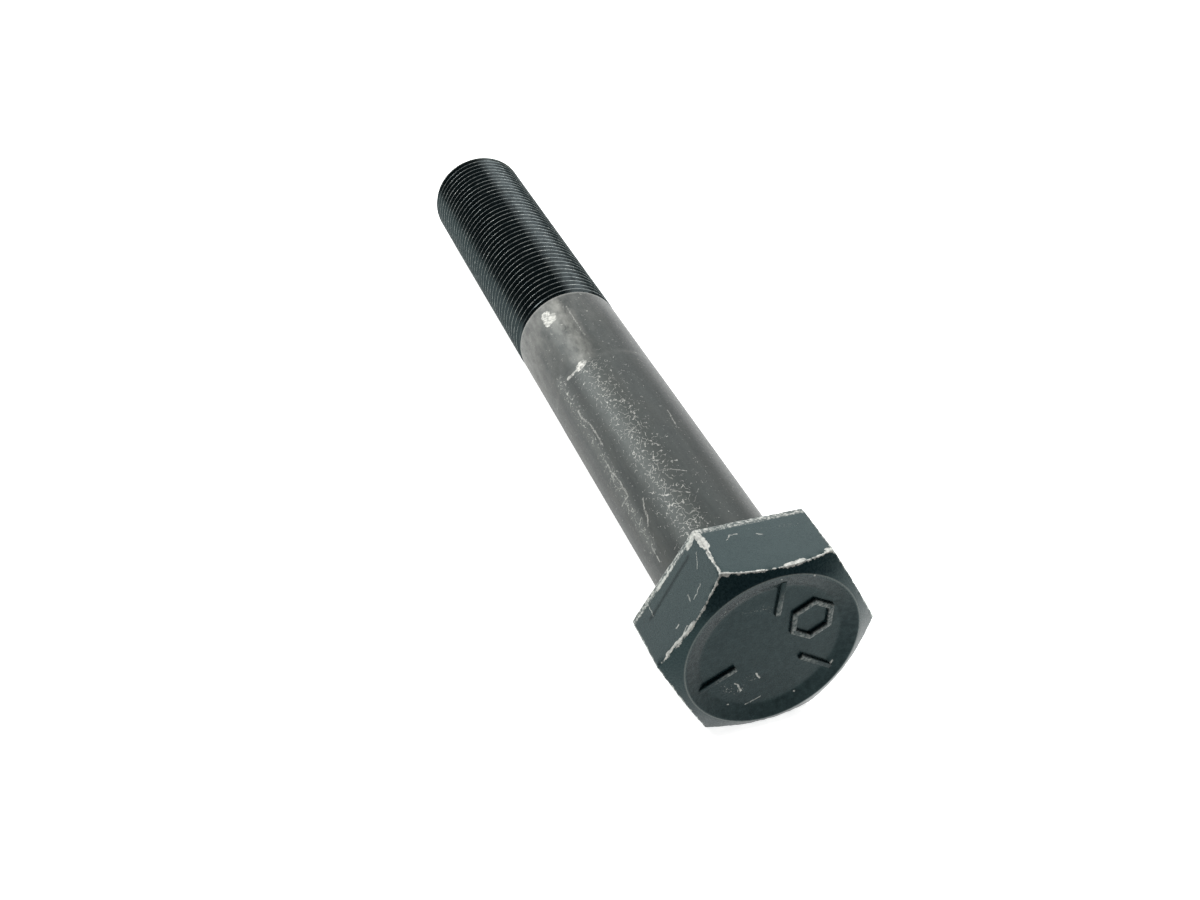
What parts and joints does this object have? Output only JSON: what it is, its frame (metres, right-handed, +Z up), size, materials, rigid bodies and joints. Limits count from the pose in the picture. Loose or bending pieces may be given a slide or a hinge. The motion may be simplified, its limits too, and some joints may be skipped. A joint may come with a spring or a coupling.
{
  "type": "hex bolt",
  "caption": "Long partly threaded hex head bolt with a chamfered, dished head, a washer face, a plain shank and a fine right-hand thread.",
  "frame": {"origin": "middle of the bolt's length and width, on the plane of the head flat that it lies on", "axes": "+Y along the bolt's axis from head to thread tip, +Z up out of the opposite head flat, +X across the head's corners"},
  "size_m": [0.0382, 0.1726, 0.033],
  "materials": {
    "black_oxide_steel": "black oxide over forged and rolled steel, satin, rubbed bright on the head's edges"
  },
  "bodies": {
    "root": {"hex_bolt": "black_oxide_steel"}
  },
  "joints": []
}
